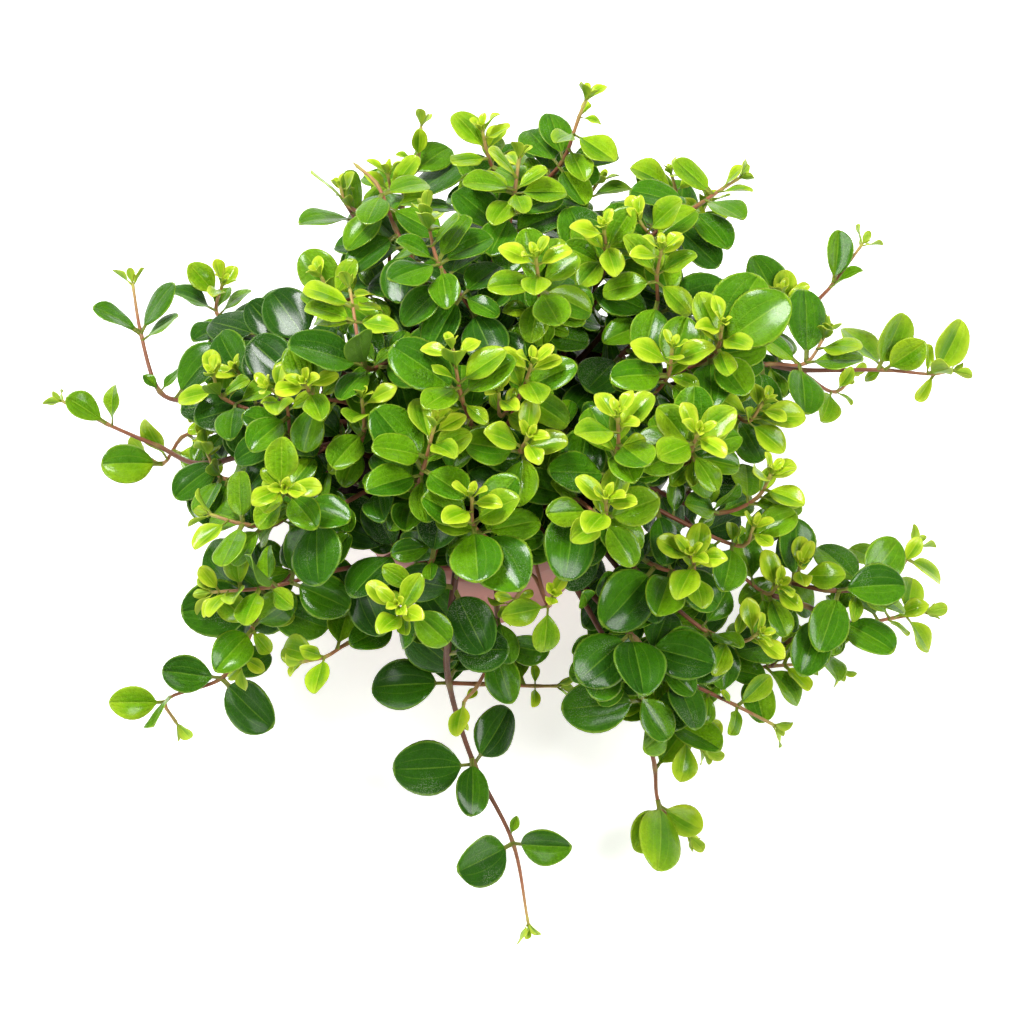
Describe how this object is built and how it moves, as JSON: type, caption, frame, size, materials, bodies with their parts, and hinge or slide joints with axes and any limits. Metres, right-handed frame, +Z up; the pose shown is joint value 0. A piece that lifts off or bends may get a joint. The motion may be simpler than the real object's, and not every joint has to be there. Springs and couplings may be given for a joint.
{
  "type": "potted trailing plant",
  "caption": "Trailing houseplant in a round nursery pot: long arching and hanging stems with whorls of thick oval leaves.",
  "frame": {"origin": "centre of the pot's underside", "axes": "+Z up, -Y towards the front as pictured, +X to the right"},
  "size_m": [0.3544, 0.2945, 0.1737],
  "materials": {
    "pot_plastic": "matte terracotta brown",
    "potting_soil": "dark crumbly peat",
    "foliage": "glossy waxy green leaves on reddish stems"
  },
  "bodies": {
    "root": {"pot": "pot_plastic", "soil": "potting_soil", "stem_left_high": "foliage", "stem_left_far": "foliage", "stem_left_upper": "foliage", "stem_left_dark": "foliage", "stem_left_middle": "foliage", "stem_left_lower": "foliage", "stem_left_low_dark": "foliage", "stem_left_inner": "foliage", "stem_left_inner_high": "foliage", "stem_left_front": "foliage", "stem_left_front_inner": "foliage", "stem_lower_left": "foliage", "stem_lower_left_low": "foliage", "stem_front_left": "foliage", "stem_front_left_inner": "foliage", "stem_front_trailer": "foliage", "stem_front_middle": "foliage", "stem_front_right_dark": "foliage", "stem_top_left": "foliage", "stem_top_left_cut": "foliage", "stem_top_left_pale": "foliage", "stem_top_dark": "foliage", "stem_top_middle_low": "foliage", "stem_top": "foliage", "stem_top_middle": "foliage", "stem_top_back": "foliage", "stem_top_right_dark": "foliage", "stem_back_middle": "foliage", "stem_back_left": "foliage", "stem_back_left_low": "foliage", "stem_back_right": "foliage", "stem_back_right_high": "foliage", "stem_back_right_outer": "foliage", "stem_back_right_low": "foliage", "stem_back_right_inner": "foliage", "stem_right_upper": "foliage", "stem_right_up": "foliage", "stem_right_far": "foliage", "stem_right_back_cluster": "foliage", "stem_right_cluster": "foliage", "stem_right_middle": "foliage", "stem_right_edge": "foliage", "stem_right_low_inner": "foliage", "stem_right_low": "foliage", "stem_right_low_bud": "foliage", "stem_front_right_outer": "foliage", "stem_front_right_middle": "foliage", "stem_front_right_upper": "foliage", "stem_front_right_low": "foliage", "stem_front_right_under": "foliage", "stem_centre": "foliage", "stem_centre_back": "foliage", "stem_centre_left": "foliage", "stem_centre_front": "foliage", "stem_centre_right_back": "foliage", "stem_centre_right": "foliage", "stem_centre_low": "foliage", "stem_centre_dark": "foliage"}
  },
  "joints": []
}
